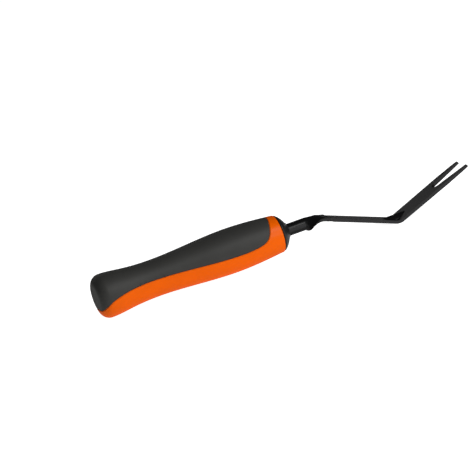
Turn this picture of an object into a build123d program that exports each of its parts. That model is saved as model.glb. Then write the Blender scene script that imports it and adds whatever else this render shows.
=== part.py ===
"""Hand weeder: a two-component moulded handle on a stamped steel blade with a cranked two-tine fork.

Millimetres. The origin is the centre of the flat butt face, +X runs along the handle axis towards the fork,
+Y is across the tool and +Z points to the inside of the crank, where the thumb rests on the soft grip.
"""

import os
from math import cos, radians, sin, tan

from build123d import *

# Handle: a round profile turned about X.
HANDLE_LENGTH = 146.0
BUTT_FLAT_R = 9.2
BUTT_CORNER_R = 7.5
SHOULDER = (24.5, 15.05)  # x and radius on the slope from the butt flare to the waist
WAIST = (47.5, 13.8)
BELLY = (108.0, 16.75)
RIM_R = 14.1
RIM_SLOPE = -0.11

# Soft grip: an overmould that fills a recess in the shell.
GRIP_DEPTH = 2.2
GRIP_SEAM = [  # side view of its lower edge, from the butt to the top of the front band
    (-2.0, -10.5),
    (6.0, -4.3),
    (17.0, -0.6),
    (43.0, 1.3),
    (75.0, -0.5),
    (108.0, -2.6),
    (124.0, -2.0),
    (133.0, 1.0),
    (137.0, 7.0),
    (139.4, 13.0),
    (142.0, 19.0),
]

# Core: a ringed stem inside the shell.
CORE_STEM_R = 7.4
CORE_RING_R = 8.8
CORE_START = 10.0
CORE_END = 131.0
CORE_RING_WIDTH = 7.0
CORE_RING_PITCH = 13.0

# Ferrule: domed nose in front of the rim, and a spigot inside it.
NOSE_LENGTH = 7.6
NOSE_R = 13.6
NOSE_SHOULDER = (HANDLE_LENGTH + 4.7, 9.7)
NOSE_TIP_R = 5.6
NOSE_GROOVE_WIDTH = 0.7
NOSE_GROOVE_DEPTH = 0.8
SPIGOT_R = 10.0
SEAT_CLEARANCE = 0.05  # between the ferrule's bore and the neck

# Blade: one blank, rolled into a tube for the neck and tang.
SHEET = 2.4
STRIP_WIDTH = 21.3
NECK_R = 3.45  # middle of the sheet
TANG_END = 58.0
NECK_END = 167.0
STRIP_ANGLE = -20.8
FORK_ANGLE = 20.6
CRANK_X = 235.6
CRANK_Z = -20.9
CRANK_R = 7.3  # middle of the sheet
FORK_LENGTH = 66.6
FORK_WIDTH = 23.5
TANG_HOLE_R = 2.4
TANG_HOLES = (72.0, 92.0)

# Opening of the neck: distance past the end of the tube, radius of the section, lift of its crest.
NECK_OPENING = [
    (0.0, NECK_R, 0.0),
    (2.2, 4.3, 0.0),
    (4.4, 6.6, 0.0),
    (6.8, 11.5, 0.25),
    (9.2, 24.0, 0.55),
    (12.0, 55.0, 0.8),
    (16.0, 170.0, 0.45),
    (21.0, 5000.0, 0.0),  # flat for all purposes
]

# Fork: measured from the crank along the fork, and across it.
NOTCH_ROOT = 37.5
NOTCH_ROOT_R = 5.0
NOTCH_MOUTH = 16.0
TIP_WIDTH = 3.4
TIP_CHAMFER_LENGTH = 6.0
TIP_TAPER_LENGTH = 20.0
TIP_THICKNESS = 1.5

# Gusset: a round rib pressed up into the inside of the crank, with the matching dent below.
GUSSET_R = 6.0
GUSSET_RISE = 3.4
GUSSET_REACH = 14.0
GUSSET_AXIS_Z = CRANK_Z + SHEET / 2 / cos(radians(FORK_ANGLE)) + GUSSET_RISE - GUSSET_R

FORK_DIR = Vector(cos(radians(FORK_ANGLE)), 0, sin(radians(FORK_ANGLE)))
CRANK = Vector(CRANK_X, 0, CRANK_Z)
FORK_TIP = CRANK + FORK_DIR * FORK_LENGTH
ACROSS = (0, 1, 0)
FROM_BASE = (Align.CENTER, Align.CENTER, Align.MIN)


def handle_profile(inset):
    """Half outline of the handle in the XZ plane, from the axis at the butt to the axis at the rim."""
    corner = BUTT_CORNER_R - inset
    with BuildSketch(Plane.XZ) as profile:
        with BuildLine():
            butt = Line((inset, 0), (inset, BUTT_FLAT_R))
            flare = RadiusArc(butt @ 1, (BUTT_CORNER_R, BUTT_FLAT_R + corner), corner)
            side = Spline(
                flare @ 1,
                (SHOULDER[0], SHOULDER[1] - inset),
                (WAIST[0], WAIST[1] - inset),
                (BELLY[0], BELLY[1] - inset),
                (HANDLE_LENGTH, RIM_R - inset),
                tangents=[(1, 0), (1, RIM_SLOPE)],
            )
            rim = Line(side @ 1, (HANDLE_LENGTH, 0))
            Line(rim @ 1, butt @ 0)
        make_face()
    return profile.sketch


def handle_body(inset):
    """The handle's outer shape, moved in by inset all round except at the rim."""
    with BuildPart() as body:
        revolve(handle_profile(inset), axis=Axis.X)
    return body.part


def core_blank():
    """Core without the tang's cavity: a round stem with rings that key it into the shell."""
    length = CORE_END - CORE_START
    ring_count = int(length / CORE_RING_PITCH)
    along_handle = Plane((CORE_START, 0, 0), z_dir=(1, 0, 0))
    with BuildPart(along_handle) as blank:
        Cylinder(CORE_STEM_R, length, align=FROM_BASE)
        for index in range(ring_count):
            with Locations((0, 0, CORE_RING_PITCH * (index + 0.5))):
                Cylinder(CORE_RING_R, CORE_RING_WIDTH)
    return blank.part


def ferrule_blank():
    """Ferrule without its bore: spigot, waist groove at the rim and domed nose."""
    groove_r = NOSE_R - NOSE_GROOVE_DEPTH
    shoulder_x = HANDLE_LENGTH + NOSE_GROOVE_WIDTH
    tip_x = HANDLE_LENGTH + NOSE_LENGTH
    with BuildPart() as blank:
        with BuildSketch(Plane.XZ):
            with BuildLine():
                spigot = Polyline(
                    (tip_x, 0),
                    (CORE_END, 0),
                    (CORE_END, SPIGOT_R),
                    (HANDLE_LENGTH, SPIGOT_R),
                    (HANDLE_LENGTH, groove_r),
                    (shoulder_x, groove_r),
                    (shoulder_x, NOSE_R),
                )
                dome = Spline(
                    spigot @ 1,
                    NOSE_SHOULDER,
                    (tip_x, NOSE_TIP_R),
                    tangents=[(1, -0.3), (0.25, -1)],
                )
                Line(dome @ 1, spigot @ 0)
            make_face()
        revolve(axis=Axis.X)
    return blank.part


def crest_station(distance, lift):
    """Plane square to the blade's crest line, a distance past the end of the tube, with +y away from it."""
    corner_x = CRANK_X - (NECK_R - CRANK_Z) / tan(radians(-STRIP_ANGLE))
    tangent = corner_x - NECK_END
    bend_r = tangent / tan(radians(-STRIP_ANGLE / 2))
    angle = min(distance / bend_r, radians(-STRIP_ANGLE))
    straight = distance - angle * bend_r
    direction = Vector(cos(angle), 0, -sin(angle))
    normal = Vector(sin(angle), 0, cos(angle))
    bend = Vector(NECK_END + bend_r * sin(angle), 0, NECK_R - bend_r * (1 - cos(angle)))
    return Plane(bend + direction * straight + normal * lift, x_dir=ACROSS, z_dir=direction)


def half_section(plane, radius):
    """Right half of the sheet's curved section at one station, with the crest at the plane's origin."""
    angle = STRIP_WIDTH / 2 / radius

    def on_arc(arc_radius, share):
        return (arc_radius * sin(share * angle), arc_radius * cos(share * angle) - radius)

    outer = radius + SHEET / 2
    inner = radius - SHEET / 2
    with BuildSketch(plane) as section:
        with BuildLine():
            Line(on_arc(inner, 0), on_arc(outer, 0))
            ThreePointArc(on_arc(outer, 0), on_arc(outer, 0.5), on_arc(outer, 1))
            Line(on_arc(outer, 1), on_arc(inner, 1))
            ThreePointArc(on_arc(inner, 1), on_arc(inner, 0.5), on_arc(inner, 0))
        make_face()
    return section.sketch


def fork_x(distance):
    """X of a point of the fork, a distance along it from the crank."""
    return (CRANK + FORK_DIR * distance).X


def half_strip():
    """Right half of the flat strip, the crank and the fork's blank, as wide as the fork."""
    start = crest_station(NECK_OPENING[-1][0], 0).origin
    with BuildPart() as half:
        with BuildSketch(Plane.XZ):
            with BuildLine():
                FilletPolyline(
                    (start.X, start.Z),
                    (CRANK.X, CRANK.Z),
                    (FORK_TIP.X, FORK_TIP.Z),
                    radius=CRANK_R,
                )
            trace(line_width=SHEET)
        extrude(amount=-FORK_WIDTH / 2)
        with BuildSketch(Plane.XY.offset(CRANK_Z - FORK_LENGTH)):  # trims the outline in plan
            Polygon(
                (start.X - SHEET, STRIP_WIDTH / 2),
                (CRANK_X, STRIP_WIDTH / 2),
                (fork_x(FORK_LENGTH - TIP_CHAMFER_LENGTH), FORK_WIDTH / 2),
                (fork_x(FORK_LENGTH), NOTCH_MOUTH / 2 + TIP_WIDTH),
                (fork_x(FORK_LENGTH + TIP_WIDTH), NOTCH_MOUTH / 2),
                (fork_x(FORK_LENGTH + TIP_WIDTH), FORK_WIDTH),
                (start.X - SHEET, FORK_WIDTH),
                align=None,
            )
        extrude(amount=2 * FORK_LENGTH, mode=Mode.SUBTRACT)
    return half.part


def gusset_rod(radius):
    """Rod along the crank, concentric with the pressed gusset."""
    with BuildPart() as rod:
        with BuildSketch(Plane.YZ.offset(CRANK_X - GUSSET_REACH)):
            with Locations((0, GUSSET_AXIS_Z)):
                Circle(radius)
        extrude(amount=2 * GUSSET_REACH)
    return rod.part


def gusset_rib():
    """The part of the gusset that stands over the middle of the sheet, inside the crank."""
    rise = GUSSET_REACH * tan(radians(FORK_ANGLE))
    with BuildPart() as rib:
        with BuildSketch(Plane.XZ):
            Polygon(
                (CRANK_X - GUSSET_REACH, CRANK_Z + rise),
                (CRANK_X, CRANK_Z),
                (CRANK_X + GUSSET_REACH, CRANK_Z + rise),
                align=None,
            )
        extrude(amount=GUSSET_R, both=True)
        add(gusset_rod(GUSSET_R), mode=Mode.INTERSECT)
    return rib.part


# Blade: its right half, mirrored, and then the gusset pressed into the crank.

side_of_fork = Plane(CRANK, x_dir=FORK_DIR, z_dir=(0, -1, 0))
face_of_fork = Plane(CRANK, x_dir=FORK_DIR, z_dir=(-FORK_DIR.Z, 0, FORK_DIR.X))

with BuildPart() as blade:
    add(half_strip())

    with BuildSketch(face_of_fork):  # notch between the tines
        Polygon(
            (NOTCH_ROOT + NOTCH_ROOT_R, -NOTCH_ROOT_R),
            (FORK_LENGTH + SHEET, -NOTCH_MOUTH / 2),
            (FORK_LENGTH + SHEET, NOTCH_MOUTH / 2),
            (NOTCH_ROOT + NOTCH_ROOT_R, NOTCH_ROOT_R),
            align=None,
        )
        with Locations((NOTCH_ROOT + NOTCH_ROOT_R, 0)):
            Circle(NOTCH_ROOT_R)
    extrude(amount=SHEET, both=True, mode=Mode.SUBTRACT)

    with BuildSketch(side_of_fork):  # both faces ground thin towards the tips
        for side in (-1, 1):
            Polygon(
                (FORK_LENGTH - TIP_TAPER_LENGTH, side * SHEET / 2),
                (FORK_LENGTH, side * TIP_THICKNESS / 2),
                (FORK_LENGTH, side * SHEET),
                (FORK_LENGTH - TIP_TAPER_LENGTH, side * SHEET),
                align=None,
            )
    extrude(amount=FORK_WIDTH, both=True, mode=Mode.SUBTRACT)

    tail = Plane((TANG_END, 0, NECK_R), x_dir=ACROSS, z_dir=(1, 0, 0))
    extrude(half_section(tail, NECK_R), amount=NECK_END - TANG_END)  # rolled neck and tang
    with Locations([Plane((x, 0, 0), z_dir=ACROSS) for x in TANG_HOLES]):
        Cylinder(TANG_HOLE_R, 4 * NECK_R, mode=Mode.SUBTRACT)

    stations = [(crest_station(distance, lift), radius) for distance, radius, lift in NECK_OPENING]
    loft([half_section(plane, radius) for plane, radius in stations])
    mirror(about=Plane.XZ)

    add(gusset_rib())
    add(gusset_rod(GUSSET_R - SHEET), mode=Mode.SUBTRACT)
blade.part.label = "blade"


# Handle: ferrule, core, shell and grip, each cut to fit what is inside it.

with BuildPart() as ferrule:
    add(ferrule_blank())
    with Locations(Plane((0, 0, 0), z_dir=(1, 0, 0))):
        bore_r = NECK_R + SHEET / 2 + SEAT_CLEARANCE
        Cylinder(bore_r, 2 * (HANDLE_LENGTH + NOSE_LENGTH), mode=Mode.SUBTRACT)
ferrule.part.label = "ferrule"

with BuildPart() as handle_core:
    add(core_blank())
    add(blade.part, mode=Mode.SUBTRACT)
handle_core.part.label = "handle_core"

with BuildPart() as soft_grip:
    with BuildSketch(Plane.XZ):  # side view of everything over the seam
        with BuildLine():
            seam = Spline(GRIP_SEAM)
            Polyline(seam @ 1, ((seam @ 0).X, (seam @ 1).Y), seam @ 0)
        make_face()
    extrude(amount=2 * BELLY[1], both=True)
    add(handle_body(0), mode=Mode.INTERSECT)
    add(handle_body(GRIP_DEPTH), mode=Mode.SUBTRACT)
soft_grip.part.label = "soft_grip"

with BuildPart() as handle_shell:
    add(handle_body(0))
    add(soft_grip.part, mode=Mode.SUBTRACT)
    add(core_blank(), mode=Mode.SUBTRACT)
    add(ferrule_blank(), mode=Mode.SUBTRACT)
handle_shell.part.label = "handle_shell"

os.makedirs("parts", exist_ok=True)
for piece in (blade, ferrule, handle_core, handle_shell, soft_grip):
    export_step(piece.part, f"parts/{piece.part.label}.step")
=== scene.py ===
"""Hand weeder: the looks of the moulded handle and the coated blade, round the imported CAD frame."""

import math

import bmesh
import bpy
import numpy as np
from mathutils import Matrix, Vector


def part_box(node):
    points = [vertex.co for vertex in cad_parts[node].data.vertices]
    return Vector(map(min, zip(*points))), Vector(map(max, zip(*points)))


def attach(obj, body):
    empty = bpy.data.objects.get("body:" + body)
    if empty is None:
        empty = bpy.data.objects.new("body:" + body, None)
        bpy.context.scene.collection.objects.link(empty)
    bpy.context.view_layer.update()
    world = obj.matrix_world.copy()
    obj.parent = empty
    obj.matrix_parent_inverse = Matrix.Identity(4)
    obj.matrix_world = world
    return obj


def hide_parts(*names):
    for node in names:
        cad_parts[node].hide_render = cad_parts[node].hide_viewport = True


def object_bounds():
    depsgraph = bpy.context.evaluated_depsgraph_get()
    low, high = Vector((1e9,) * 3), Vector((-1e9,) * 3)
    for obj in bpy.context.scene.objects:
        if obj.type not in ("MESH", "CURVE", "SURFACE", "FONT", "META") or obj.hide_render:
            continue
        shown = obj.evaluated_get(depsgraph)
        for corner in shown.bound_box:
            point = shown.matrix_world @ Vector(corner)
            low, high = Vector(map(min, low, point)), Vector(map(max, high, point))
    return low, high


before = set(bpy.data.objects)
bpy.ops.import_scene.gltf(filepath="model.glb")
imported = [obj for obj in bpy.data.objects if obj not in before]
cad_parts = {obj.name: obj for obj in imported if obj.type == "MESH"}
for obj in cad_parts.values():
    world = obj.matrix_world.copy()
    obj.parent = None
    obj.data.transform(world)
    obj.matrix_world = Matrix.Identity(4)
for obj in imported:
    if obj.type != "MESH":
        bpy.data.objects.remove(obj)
cad_low, cad_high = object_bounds()

MM = 0.001
RIM_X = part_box("handle_shell")[1].x / MM  # the handle runs along X from the butt at 0 to the rim
BELLY_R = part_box("soft_grip")[1].z / MM
NOSE_TIP_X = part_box("ferrule")[1].x / MM

# Handle outline in millimetres, turned about X.
BUTT_FLAT_R = 9.2
BUTT_CORNER_R = 7.5
RIM_R = 14.1
RIM_EDGE_R = 0.9
RIM_SEAT_DEPTH = 0.8
OUTLINE = [
    (BUTT_CORNER_R, BUTT_FLAT_R + BUTT_CORNER_R),
    (24.5, 15.05),
    (47.5, 13.8),
    (108.0, BELLY_R),
    (RIM_X, RIM_R),
]
RIM_SLOPE = -0.11

# Side view of the edge between the soft grip and the orange shell.
SEAM = [
    (-2.0, -10.5),
    (6.0, -4.3),
    (17.0, -0.6),
    (43.0, 1.3),
    (75.0, -0.5),
    (108.0, -2.6),
    (124.0, -2.0),
    (133.0, 1.0),
    (137.0, 7.0),
    (139.4, 13.0),
    (142.0, 19.0),
]
SEAM_EDGE_R = 0.55  # rounding of both edges, which leaves a fine groove between them
GRIP_TUCK = 0.7  # how far the grip reaches under the shell's edge
GRIP_THICKNESS = 1.5
GRID = 0.42  # size of the handle's faces
COLUMNS = 240

# Nose: a domed collar with a fine ring round it.
NOSE_BORE_R = 4.75
NOSE_R = 13.6
NOSE_SPIGOT_R = 9.9
NOSE_START = 132.0
NOSE_RING = (3.4, 0.16)  # distance past the rim, depth


def cubic_spline(knots, values, first_slope=None, last_slope=None):
    """Smooth curve through values at the knots: natural ends, or the slopes given."""
    knots = np.asarray(knots, float)
    values = np.asarray(values, float)
    n = len(knots)
    gap = np.diff(knots)
    rise = np.diff(values) / gap
    matrix = np.zeros((n, n))
    right = np.zeros(n)
    for i in range(1, n - 1):
        matrix[i, i - 1 : i + 2] = (gap[i], 2 * (gap[i - 1] + gap[i]), gap[i - 1])
        right[i] = 3 * (gap[i] * rise[i - 1] + gap[i - 1] * rise[i])
    matrix[0, :2] = (1, 0) if first_slope is not None else (2, 1)
    right[0] = first_slope if first_slope is not None else 3 * rise[0]
    matrix[-1, -2:] = (0, 1) if last_slope is not None else (1, 2)
    right[-1] = last_slope if last_slope is not None else 3 * rise[-1]
    slopes = np.linalg.solve(matrix, right)

    def curve(x):
        x = np.asarray(x, float)
        i = np.clip(np.searchsorted(knots, x) - 1, 0, n - 2)
        t = (x - knots[i]) / gap[i]
        return (
            values[i] * (1 + 2 * t) * (1 - t) ** 2
            + values[i + 1] * t * t * (3 - 2 * t)
            + gap[i] * slopes[i] * t * (1 - t) ** 2
            - gap[i] * slopes[i + 1] * t * t * (1 - t)
        )

    return curve


def arc(centre, radius, start, end, steps):
    """Points of an arc, angles in degrees from +x towards +r."""
    angles = np.radians(np.linspace(start, end, steps))
    return [(centre[0] + radius * math.cos(a), centre[1] + radius * math.sin(a)) for a in angles]


def handle_outline():
    """Dense points (x, r) of the handle's outside, from the butt's centre to the front of the rim."""
    knots = [p[0] for p in OUTLINE]
    radius = cubic_spline(knots, [p[1] for p in OUTLINE], 0.0, RIM_SLOPE)
    butt = [(0.0, r) for r in np.linspace(0.0, BUTT_FLAT_R, 20)]
    corner = arc((BUTT_CORNER_R, BUTT_FLAT_R), BUTT_CORNER_R, 180, 90, 30)
    last_x = RIM_X - RIM_EDGE_R
    xs = np.linspace(BUTT_CORNER_R, last_x, int((last_x - BUTT_CORNER_R) / GRID))
    side = [(x, float(radius(x))) for x in xs]
    rim = arc((last_x, side[-1][1] - RIM_EDGE_R), RIM_EDGE_R, 84, 0, 8)
    return np.array(butt + corner[1:] + side[1:] + rim)


def seam_line():
    """Dense points (x, z) of the seam in side view."""
    points = np.array(SEAM)
    chord = np.concatenate([[0], np.cumsum(np.linalg.norm(np.diff(points, axis=0), axis=1))])
    at = np.linspace(0, chord[-1], 500)
    x_at = cubic_spline(chord, points[:, 0])
    z_at = cubic_spline(chord, points[:, 1])
    return np.stack([x_at(at), z_at(at)], axis=1)


def seam_distance(x, z):
    """Distance of side-view points over the seam, negative below it, and the direction away from it."""
    line = seam_line()
    start, step = line[:-1], np.diff(line, axis=0)
    length2 = (step**2).sum(1)
    away = np.stack([-step[:, 1], step[:, 0]], axis=1) / np.sqrt(length2)[:, None]
    distance = np.empty(x.shape)
    direction = np.empty(x.shape + (2,))
    for row in range(x.shape[0]):
        dx = x[row][:, None] - start[:, 0]
        dz = z[row][:, None] - start[:, 1]
        t = np.clip((dx * step[:, 0] + dz * step[:, 1]) / length2, 0, 1)
        gap2 = (dx - t * step[:, 0]) ** 2 + (dz - t * step[:, 1]) ** 2
        near = gap2.argmin(1)
        each = np.arange(len(near))
        side = dx[each, near] * away[near, 0] + dz[each, near] * away[near, 1]
        distance[row] = np.sqrt(gap2.min(1)) * np.where(side < 0, -1, 1)
        direction[row] = away[near]
    return distance, direction


def handle_grid():
    """Points and normals of the handle's outside on a grid, and each point's distance over the seam.
    Points beside the seam and beside the ends of its rounding are slid onto them, so edges follow it."""
    outline = handle_outline()
    tangent = np.gradient(outline, axis=0)
    tangent /= np.linalg.norm(tangent, axis=1)[:, None]
    angle = np.linspace(0, 2 * math.pi, COLUMNS, endpoint=False)
    sine, cosine = np.sin(angle), np.cos(angle)
    x = np.repeat(outline[:, :1], COLUMNS, axis=1)
    points = np.stack([x, np.outer(outline[:, 1], sine), np.outer(outline[:, 1], cosine)], axis=2)
    normal_x = np.repeat(-tangent[:, 1:], COLUMNS, axis=1)
    normals = np.stack([normal_x, np.outer(tangent[:, 0], sine), np.outer(tangent[:, 0], cosine)], axis=2)
    flat, direction = seam_distance(points[..., 0], points[..., 2])
    away = np.stack([direction[..., 0], np.zeros(flat.shape), direction[..., 1]], axis=2)
    away -= (away * normals).sum(2)[..., None] * normals
    slant = np.maximum(np.linalg.norm(away, axis=2), 0.4)
    away /= slant[..., None]
    distance = flat / slant
    for level in (-SEAM_EDGE_R, 0.0, SEAM_EDGE_R):
        slide = level - distance
        slide[np.abs(slide) > GRID / 2] = 0
        points += away * slide[..., None]
        distance = distance + slide
    return points, normals, distance


def rounded_drop(inside):
    """Depth below the surface of an edge's rounding, at a distance inside the edge."""
    reach = np.clip(inside, 0, SEAM_EDGE_R)
    return SEAM_EDGE_R - np.sqrt(SEAM_EDGE_R**2 - (SEAM_EDGE_R - reach) ** 2)


def mesh_object(name, vertices, faces, smooth_angle=40):
    """Mesh object from points in millimetres, shaded smooth up to an angle."""
    mesh = bpy.data.meshes.new(name)
    mesh.from_pydata([tuple(v) for v in np.asarray(vertices) * MM], [], faces)
    edit = bmesh.new()
    edit.from_mesh(mesh)
    bmesh.ops.remove_doubles(edit, verts=edit.verts, dist=0.002 * MM)
    bmesh.ops.recalc_face_normals(edit, faces=edit.faces)
    edit.to_mesh(mesh)
    edit.free()
    mesh.shade_smooth()
    mesh.set_sharp_from_angle(angle=math.radians(smooth_angle))
    made = bpy.data.objects.new(name, mesh)
    bpy.context.scene.collection.objects.link(made)
    return made


def grid_faces(rows, columns, closed_rows=False):
    """Quads of a grid whose columns go right round."""
    faces = []
    for row in range(rows if closed_rows else rows - 1):
        below = (row + 1) % rows
        for column in range(columns):
            beside = (column + 1) % columns
            here, under = row * columns, below * columns
            faces.append((here + column, under + column, under + beside, here + beside))
    return faces


def turned(outline, columns):
    """Grid of points made by turning an outline of (x, r) points about X."""
    angle = np.linspace(0, 2 * math.pi, columns, endpoint=False)
    along = np.repeat(outline[:, :1], columns, axis=1)
    sideways = np.outer(outline[:, 1], np.sin(angle))
    upward = np.outer(outline[:, 1], np.cos(angle))
    return np.stack([along, sideways, upward], axis=2)


def lathe(name, outline, columns=200):
    """Ring-shaped or solid piece turned about X from a closed outline of (x, r) points."""
    points = turned(np.array(outline), columns)
    return mesh_object(name, points.reshape(-1, 3), grid_faces(len(outline), columns, closed_rows=True))


def make_shell(points, normals, distance):
    """Orange shell: the handle's outside with the grip's recess sunk into it, and a seat for the nose."""
    sink = rounded_drop(-distance)
    sink = np.where(distance > 0, SEAM_EDGE_R + np.minimum(3 * distance, 1.5), sink)
    outside = points - normals * sink[..., None]
    seat_x = RIM_X - RIM_SEAT_DEPTH
    socket_r = NOSE_SPIGOT_R + 0.1
    seat = [(RIM_X, 12.9), (seat_x, 12.7), (seat_x, socket_r), (NOSE_START, socket_r), (NOSE_START, 0.0)]
    grid = np.concatenate([outside, turned(np.array(seat), COLUMNS)])
    return mesh_object("orange_shell", grid.reshape(-1, 3), grid_faces(len(grid), COLUMNS))


def make_grip(points, normals, distance):
    """Soft grip: the outside over the seam, with a rounded edge that tucks in behind the shell's."""
    sink = rounded_drop(distance)
    sink = np.where(distance < 0, SEAM_EDGE_R + np.minimum(-3 * distance, 1.2), sink)
    outside = points - normals * sink[..., None]
    kept = distance.ravel() > -GRIP_TUCK
    faces = [f for f in grid_faces(len(points), COLUMNS) if any(kept[v] for v in f)]
    used = sorted({v for f in faces for v in f})
    number = {v: i for i, v in enumerate(used)}
    skin = [tuple(number[v] for v in f) for f in faces]
    grip = mesh_object("grip_overmould", outside.reshape(-1, 3)[used], skin, 60)
    wall = grip.modifiers.new("wall", "SOLIDIFY")
    wall.thickness = GRIP_THICKNESS * MM
    wall.offset = -1
    return grip


def make_nose():
    """Black collar: spigot, groove at the rim, rounded shoulder, dome with a fine ring, and the bore."""
    shoulder_x = RIM_X + 0.7
    tip = NOSE_TIP_X - 0.5
    dome = cubic_spline([0.0, 4.0, tip - shoulder_x], [NOSE_R - 0.1, 9.7, 5.9], -0.42)
    collar_x = RIM_X - 0.7
    outline = [(NOSE_START, NOSE_BORE_R), (NOSE_START, NOSE_SPIGOT_R), (collar_x, NOSE_SPIGOT_R)]
    outline += [(collar_x, 12.4), (RIM_X + 0.45, 12.45)]
    outline += arc((shoulder_x + 0.2, NOSE_R - 0.55), 0.5, 180, 75, 7)
    for along in np.linspace(0.35, tip - shoulder_x, 60):
        ring = NOSE_RING[1] * math.exp(-(((along - NOSE_RING[0]) / 0.16) ** 2))
        outline.append((shoulder_x + along, float(dome(along)) - ring))
    outline += arc((tip, 5.4), 0.5, 60, 0, 5) + [(NOSE_TIP_X, NOSE_BORE_R)]
    return lathe("nose_collar", outline)


def node_material(name, colour, roughness, **settings):
    """Principled material with its plain values on the shader's own sockets. Returns it and its shader."""
    material = bpy.data.materials.new(name)
    material.use_nodes = True
    shader = material.node_tree.nodes["Principled BSDF"]
    shader.inputs["Base Color"].default_value = (*colour, 1)
    shader.inputs["Roughness"].default_value = roughness
    for socket, value in settings.items():
        shader.inputs[socket.replace("_", " ")].default_value = value
    return material, shader


def coat(material, weight, roughness):
    """Thin sheen over a matt base, so that faces seen edge-on stay dark."""
    shader = material.node_tree.nodes["Principled BSDF"]
    shader.inputs["Coat Weight"].default_value = weight
    shader.inputs["Coat Roughness"].default_value = roughness


def noise(tree, scale, detail=3.0):
    """Noise texture in object space, cells per metre."""
    where = tree.nodes.new("ShaderNodeTexCoord")
    texture = tree.nodes.new("ShaderNodeTexNoise")
    texture.inputs["Scale"].default_value = scale
    texture.inputs["Detail"].default_value = detail
    tree.links.new(where.outputs["Object"], texture.inputs["Vector"])
    return texture.outputs["Fac"]


def ramp(tree, source, low, high, start=0.35, end=0.65):
    """Maps a factor to values or colours between low and high."""
    made = tree.nodes.new("ShaderNodeValToRGB")
    made.color_ramp.elements[0].position = start
    made.color_ramp.elements[1].position = end
    made.color_ramp.elements[0].color = (*low, 1)
    made.color_ramp.elements[1].color = (*high, 1)
    tree.links.new(source, made.inputs["Fac"])
    return made.outputs["Color"]


def bump(tree, shader, height, strength, distance):
    """Fine relief from a height texture."""
    made = tree.nodes.new("ShaderNodeBump")
    made.inputs["Strength"].default_value = strength
    made.inputs["Distance"].default_value = distance
    tree.links.new(height, made.inputs["Height"])
    tree.links.new(made.outputs["Normal"], shader.inputs["Normal"])
    tree.links.new(made.outputs["Normal"], shader.inputs["Coat Normal"])


def uneven_gloss(tree, shader, scale, low, high):
    """Roughness that varies between low and high."""
    tree.links.new(ramp(tree, noise(tree, scale), (low,) * 3, (high,) * 3), shader.inputs["Roughness"])


def mottled(material, shader, colour, spread, scale, rough_low, rough_high):
    """Slow colour and gloss variation over the piece."""
    tree = material.node_tree
    slow = noise(tree, scale)
    low = tuple(c * (1 - spread) for c in colour)
    high = tuple(min(1, c * (1 + spread)) for c in colour)
    tree.links.new(ramp(tree, slow, low, high), shader.inputs["Base Color"])
    uneven_gloss(tree, shader, scale * 6, rough_low, rough_high)


ORANGE = (0.55, 0.077, 0.0)
GRIP_GREY = (0.026, 0.026, 0.0245)
NOSE_BLACK = (0.008, 0.008, 0.0085)
STEEL_BLACK = (0.004, 0.004, 0.0042)
# Grey of the painted highlight on the blade's sideways-facing faces.
STEEL_SIDE_HIGHLIGHT = (0.018, 0.018, 0.0185)


def orange_plastic():
    material, shader = node_material("orange_plastic", ORANGE, 0.5, Specular_IOR_Level=0.0)
    coat(material, 0.10, 0.3)
    mottled(material, shader, ORANGE, 0.03, 60, 0.30, 0.38)
    bump(material.node_tree, shader, noise(material.node_tree, 2500, 2), 0.15, 0.00004)
    return material


def grip_rubber():
    material, shader = node_material("grip_rubber", GRIP_GREY, 0.6, Specular_IOR_Level=0.0)
    coat(material, 0.2, 0.5)
    mottled(material, shader, GRIP_GREY, 0.06, 45, 0.46, 0.56)
    bump(material.node_tree, shader, noise(material.node_tree, 3200, 4), 0.35, 0.00008)
    return material


def nose_plastic():
    material, shader = node_material("nose_plastic", NOSE_BLACK, 0.5, Specular_IOR_Level=0.0)
    coat(material, 0.4, 0.3)
    mottled(material, shader, NOSE_BLACK, 0.10, 80, 0.38, 0.46)
    bump(material.node_tree, shader, noise(material.node_tree, 3000, 3), 0.2, 0.00005)
    return material


def core_plastic():
    material, shader = node_material("core_plastic", NOSE_BLACK, 0.5)
    mottled(material, shader, NOSE_BLACK, 0.1, 80, 0.45, 0.55)
    return material


def coated_steel():
    """Black stoving coat with uneven gloss, plus a painted highlight: the base colour turns greyer wherever
    a face points sideways (along Y), on the sheet's cut edges and the neck's round sides alike.
    """
    material, shader = node_material("coated_steel", STEEL_BLACK, 0.5, Specular_IOR_Level=0.0)
    coat(material, 0.15, 0.26)
    tree = material.node_tree
    uneven_gloss(tree, shader, 540, 0.45, 0.55)
    # Painted highlight: the base colour is mixed towards grey by how far the object-space normal points
    # along Y, whatever the face is.
    where = tree.nodes.new("ShaderNodeTexCoord")
    split = tree.nodes.new("ShaderNodeSeparateXYZ")
    sideways = tree.nodes.new("ShaderNodeMath")
    sideways.operation = "ABSOLUTE"
    tree.links.new(where.outputs["Normal"], split.inputs["Vector"])
    tree.links.new(split.outputs["Y"], sideways.inputs[0])
    painted_side_highlight = ramp(tree, sideways.outputs[0], STEEL_BLACK, STEEL_SIDE_HIGHLIGHT, 0.9, 0.99)
    tree.links.new(painted_side_highlight, shader.inputs["Base Color"])
    bump(tree, shader, noise(tree, 1400, 3), 0.2, 0.00002)
    return material


def dress(piece, material):
    piece.data.materials.clear()
    piece.data.materials.append(material)


grid = handle_grid()
shell = make_shell(*grid)
dress(shell, orange_plastic())
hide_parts("handle_shell")
grip = make_grip(*grid)
dress(grip, grip_rubber())
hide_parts("soft_grip")
nose = make_nose()
dress(nose, nose_plastic())
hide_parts("ferrule")
for piece in (shell, grip, nose):
    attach(piece, "root")

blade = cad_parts["blade"]
dress(blade, coated_steel())
worn = blade.modifiers.new("worn_edges", "BEVEL")
worn.width = 0.25 * MM
worn.segments = 2
worn.limit_method = "ANGLE"
worn.angle_limit = math.radians(50)
dress(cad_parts["handle_core"], core_plastic())

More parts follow.
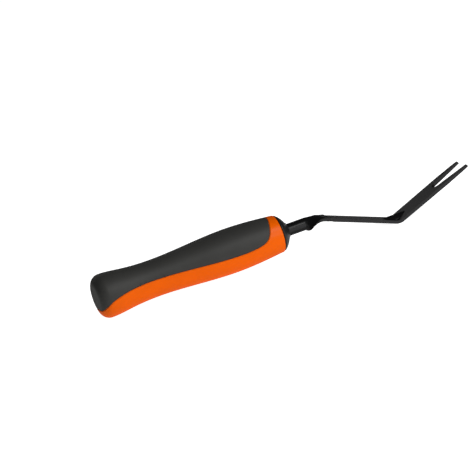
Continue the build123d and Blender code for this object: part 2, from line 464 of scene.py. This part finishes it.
# Stage: a pale floor at the tool's lowest point, soft studio lights, and the camera.
floor_z = cad_low[2] - 0.00005
bpy.ops.mesh.primitive_plane_add(size=60, location=(0.15, 0, floor_z))
floor = bpy.context.object
floor.name = "floor"
floor_material, floor_shader = node_material("floor_white", (0.6, 0.6, 0.6), 0.9, Specular_IOR_Level=0.0)
floor_shader.inputs["Emission Color"].default_value = (1, 1, 1, 1)
floor_shader.inputs["Emission Strength"].default_value = 0.97
floor.data.materials.append(floor_material)


def area_light(name, place, target, size, power, height=None):
    """Soft rectangular light at a place, facing a target."""
    light = bpy.data.lights.new(name, "AREA")
    light.energy = power
    light.size = size
    if height is not None:
        light.shape = "RECTANGLE"
        light.size_y = height
    made = bpy.data.objects.new(name, light)
    made.location = place
    made.rotation_euler = (Vector(target) - Vector(place)).to_track_quat("-Z", "Y").to_euler()
    bpy.context.scene.collection.objects.link(made)
    return made


MIDDLE = (0.15, 0.0, 0.0)
area_light("key", (0.6, -0.95, 0.75), MIDDLE, 0.7, 14, 0.45)
area_light("front_low", (0.75, -1.1, 0.22), MIDDLE, 0.4, 5, 0.3)
area_light("rim_back", (0.3, 1.2, 0.5), (0.27, 0.0, 0.0), 0.5, 0.45, 0.35)
area_light("fill_back", (-0.2, 1.2, 0.6), (0.07, 0.0, 0.0), 1.0, 2.5, 0.5)

world = bpy.data.worlds.new("studio")
bpy.context.scene.world = world
world.use_nodes = True
backdrop = world.node_tree.nodes["Background"]
backdrop.inputs["Color"].default_value = (1, 1, 1, 1)
backdrop.inputs["Strength"].default_value = 0.06

# Camera: a long lens from the left front, a little above, with the tool pointing up to the right.
RIGHT = Vector((0.911, -0.307, -0.276)).normalized()
UP = Vector((0.326, 0.127, 0.9365))
UP = (UP - UP.dot(RIGHT) * RIGHT).normalized()
BACK = RIGHT.cross(UP)
CAMERA_DISTANCE = 3.0
FRAME_WIDTH = 0.3461
target = Vector((RIM_X * MM, 0, 0)) - RIGHT * 0.0317 - UP * 0.0011
camera_data = bpy.data.cameras.new("camera")
camera_data.sensor_width = 36
camera_data.lens = 36 * CAMERA_DISTANCE / FRAME_WIDTH
camera = bpy.data.objects.new("camera", camera_data)
place = target + BACK * CAMERA_DISTANCE
camera.matrix_world = Matrix.Translation(place) @ Matrix((RIGHT, UP, BACK)).transposed().to_4x4()
bpy.context.scene.collection.objects.link(camera)
bpy.context.scene.camera = camera
bpy.context.scene.view_settings.view_transform = "Standard"
